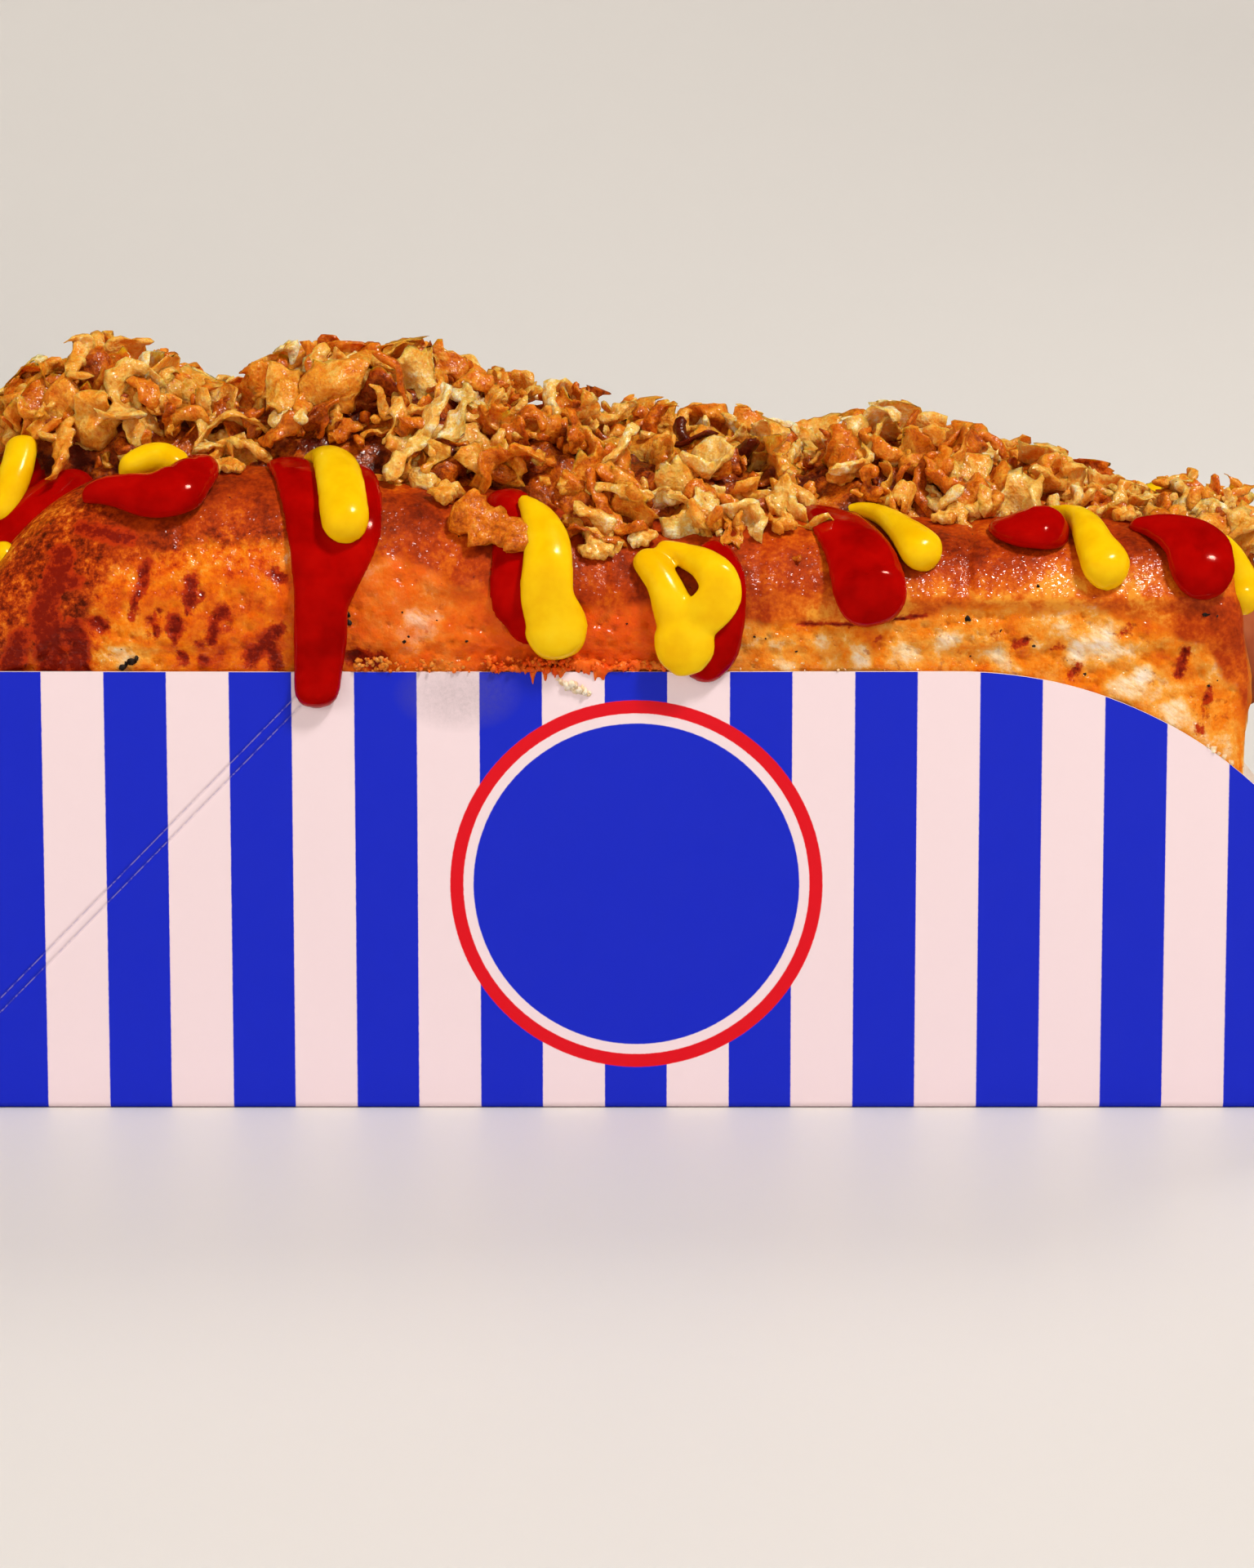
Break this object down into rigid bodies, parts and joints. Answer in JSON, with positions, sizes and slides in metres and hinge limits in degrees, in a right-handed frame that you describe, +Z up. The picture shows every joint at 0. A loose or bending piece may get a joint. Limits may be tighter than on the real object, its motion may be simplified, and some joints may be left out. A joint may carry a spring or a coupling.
{
  "type": "hot dog",
  "caption": "Hot dog: sausage in a split-top roll with ketchup, mustard and a heap of fried onions, served in a striped paper case that is open at one end.",
  "frame": {"origin": "middle of the underside of the paper case", "axes": "+X along the hot dog to the open end of the case, -Y towards the front wall, +Z up"},
  "size_m": [0.17, 0.0559, 0.0855],
  "materials": {
    "printed_board": "white coated paperboard with blue stripes and a plain round badge, soft sheen",
    "roll": "glossy egg-washed brown crust over pale griddled crumb, with glossy red and yellow sauce",
    "sausage": "smooth moist skin",
    "fried_onions": "crisp, blistered and slightly oily",
    "ketchup": "thick glossy red sauce",
    "mustard": "thick glossy yellow sauce"
  },
  "bodies": {
    "root": {"paper_case": "printed_board", "roll": "roll", "sausage": "sausage", "fried_onions": "fried_onions"}
  },
  "joints": []
}
